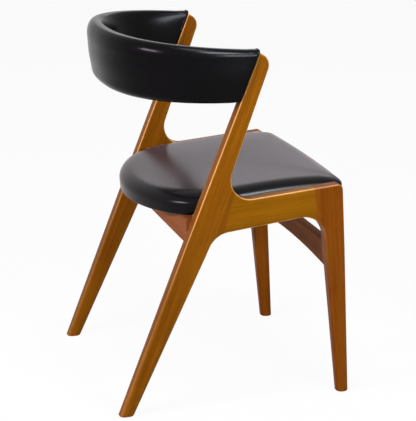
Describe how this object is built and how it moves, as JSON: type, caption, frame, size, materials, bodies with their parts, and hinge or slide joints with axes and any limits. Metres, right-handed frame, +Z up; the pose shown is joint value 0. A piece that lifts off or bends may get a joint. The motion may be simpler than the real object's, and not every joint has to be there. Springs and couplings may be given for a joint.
{
  "type": "dining chair",
  "caption": "Wooden dining chair with two flat side frames, a padded D-shaped seat and a curved padded band for a backrest",
  "frame": {"origin": "on the floor, at the middle of the chair's length and width", "axes": "+Z up, -Y the way the sitter faces, +X the sitter's left"},
  "size_m": [0.521, 0.5039, 0.7679],
  "materials": {
    "post_wood": "satin oiled, reddish brown",
    "rail_wood": "satin oiled, yellow brown",
    "cross_wood": "satin oiled",
    "inner_wood": "bare beech",
    "board": "bare plywood",
    "seat_leather": "smooth, semi-gloss black",
    "back_leather": "smooth, semi-gloss black",
    "foam": "open-cell upholstery foam",
    "cloth": "thin woven dust cloth"
  },
  "bodies": {
    "root": {"left_rear_post": "post_wood", "left_front_leg": "post_wood", "left_side_rail": "rail_wood", "left_back_welt": "back_leather", "left_post_joint_tenon": "inner_wood", "left_leg_joint_tenon": "inner_wood", "left_back_tenon": "inner_wood", "left_back_block": "inner_wood", "left_seat_cleat": "inner_wood", "right_rear_post": "post_wood", "right_front_leg": "post_wood", "right_side_rail": "rail_wood", "right_back_welt": "back_leather", "right_post_joint_tenon": "inner_wood", "right_leg_joint_tenon": "inner_wood", "right_back_tenon": "inner_wood", "right_back_block": "inner_wood", "right_seat_cleat": "inner_wood", "front_cross_rail": "cross_wood", "rear_cross_rail": "cross_wood", "seat_cover": "seat_leather", "seat_foam": "foam", "seat_board": "board", "seat_dust_cloth": "cloth", "back_cover": "back_leather", "back_foam": "foam", "back_shell": "board"}
  },
  "joints": []
}
